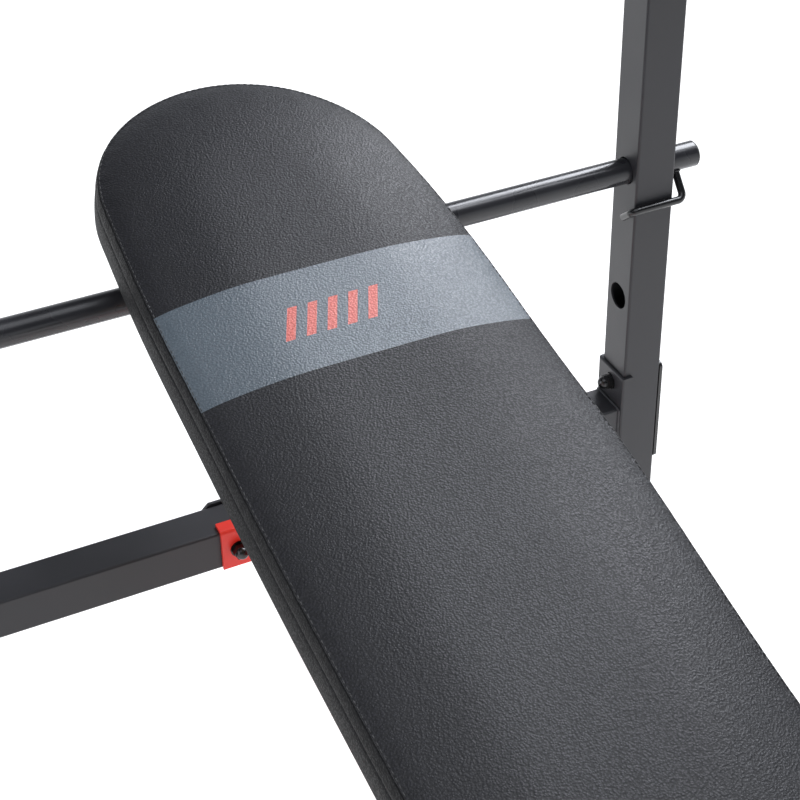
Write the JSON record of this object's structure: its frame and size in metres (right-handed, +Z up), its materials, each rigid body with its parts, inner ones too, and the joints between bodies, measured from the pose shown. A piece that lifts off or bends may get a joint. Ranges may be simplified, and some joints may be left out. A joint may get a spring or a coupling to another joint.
{
  "type": "olympic bench press",
  "caption": "Adjustable weight bench: one-piece padded board hinged at the foot and propped by a round bar through two square uprights with bar catches.",
  "frame": {"origin": "on the floor, under the middle of the bench's bounding box", "axes": "+X to the right of somebody lying on the pad, +Y towards their head, +Z up"},
  "size_m": [1.062, 1.2135, 0.996],
  "materials": {
    "black_powder_coat": "satin fine-textured powder coat",
    "black_gloss_paint": "smooth semi-gloss paint",
    "red_powder_coat": "smooth powder coat",
    "vinyl": "fine-grained matt vinyl with a sewn edge seam",
    "plywood": "unfinished plywood",
    "black_plastic": "moulded, fine texture",
    "liner_plastic": "smooth wear liner",
    "black_steel": "black zinc plate",
    "zinc_steel": "bright zinc plate",
    "nylon": "natural nylon",
    "red_plastic": "moulded grip"
  },
  "bodies": {
    "root": {"left_base_tube": "black_powder_coat", "left_upright": "black_powder_coat", "left_cross_bracket": "black_powder_coat", "left_backing_plate": "black_gloss_paint", "left_upright_foot": "black_plastic", "left_rear_foot": "black_plastic", "front_left_foot": "black_plastic", "left_guide_collar": "black_plastic", "left_hinge_bush": "nylon", "left_pin_housing": "black_steel", "right_base_tube": "black_powder_coat", "right_upright": "black_powder_coat", "right_cross_bracket": "black_powder_coat", "right_backing_plate": "black_gloss_paint", "right_upright_foot": "black_plastic", "right_rear_foot": "black_plastic", "front_right_foot": "black_plastic", "right_guide_collar": "black_plastic", "right_hinge_bush": "nylon", "right_pin_housing": "black_steel", "cross_tube": "black_powder_coat", "front_post": "black_powder_coat", "front_floor_tube": "black_powder_coat", "hinge_sleeve": "black_powder_coat", "beam_rear_plate": "black_gloss_paint", "beam_bracket": "red_powder_coat", "main_beam": "red_powder_coat", "frame_bolts": "black_steel", "frame_washers": "black_steel", "frame_nuts": "black_steel"},
    "pad": {"pad_cushion": "vinyl", "pad_board": "plywood", "left_rail": "black_powder_coat", "right_rail": "black_powder_coat", "head_brace": "black_powder_coat", "middle_brace": "black_powder_coat", "rail_plugs": "black_plastic", "pad_bolts": "black_steel", "tee_nuts": "zinc_steel", "hinge_bolt": "black_steel", "hinge_nut": "black_steel"},
    "support_bar": {"support_bar": "black_gloss_paint", "bar_end_plugs": "black_plastic"},
    "bail": {"bail_wire": "black_gloss_paint"},
    "left_post": {"left_post": "black_powder_coat", "left_post_plugs": "black_plastic", "left_catch": "black_powder_coat", "left_catch_liner": "liner_plastic"},
    "left_pin": {"left_lock_pin": "zinc_steel", "left_pin_knob": "red_plastic", "left_pin_spring": "zinc_steel"},
    "right_post": {"right_post": "black_powder_coat", "right_post_plugs": "black_plastic", "right_catch": "black_powder_coat", "right_catch_liner": "liner_plastic"},
    "right_pin": {"right_lock_pin": "zinc_steel", "right_pin_knob": "red_plastic", "right_pin_spring": "zinc_steel"}
  },
  "joints": [
    {"name": "pad_tilt", "type": "hinge", "parent": "root", "child": "pad", "pos_m": [0, -0.43281, 0.36498], "axis": [1, 0, 0], "range_deg": [0, 50]},
    {"name": "bar_slide", "type": "slide", "parent": "root", "child": "support_bar", "axis": [1, 0, 0], "range_m": [0, 0.7]},
    {"name": "bail_swing", "type": "hinge", "parent": "support_bar", "child": "bail", "pos_m": [0.501, 0.3717, 0.5], "axis": [-1, 0, 0], "range_deg": [0, 100]},
    {"name": "left_post_slide", "type": "slide", "parent": "root", "child": "left_post", "axis": [0, 0, 1], "range_m": [0, 0.24]},
    {"name": "left_pin_pull", "type": "slide", "parent": "root", "child": "left_pin", "axis": [0, 1, 0], "range_m": [0, 0.012], "stiffness_N_per_m": 700, "springref_m": -0.012},
    {"name": "right_post_slide", "type": "slide", "parent": "root", "child": "right_post", "axis": [0, 0, 1], "range_m": [0, 0.24]},
    {"name": "right_pin_pull", "type": "slide", "parent": "root", "child": "right_pin", "axis": [0, 1, 0], "range_m": [0, 0.012], "stiffness_N_per_m": 700, "springref_m": -0.012}
  ]
}
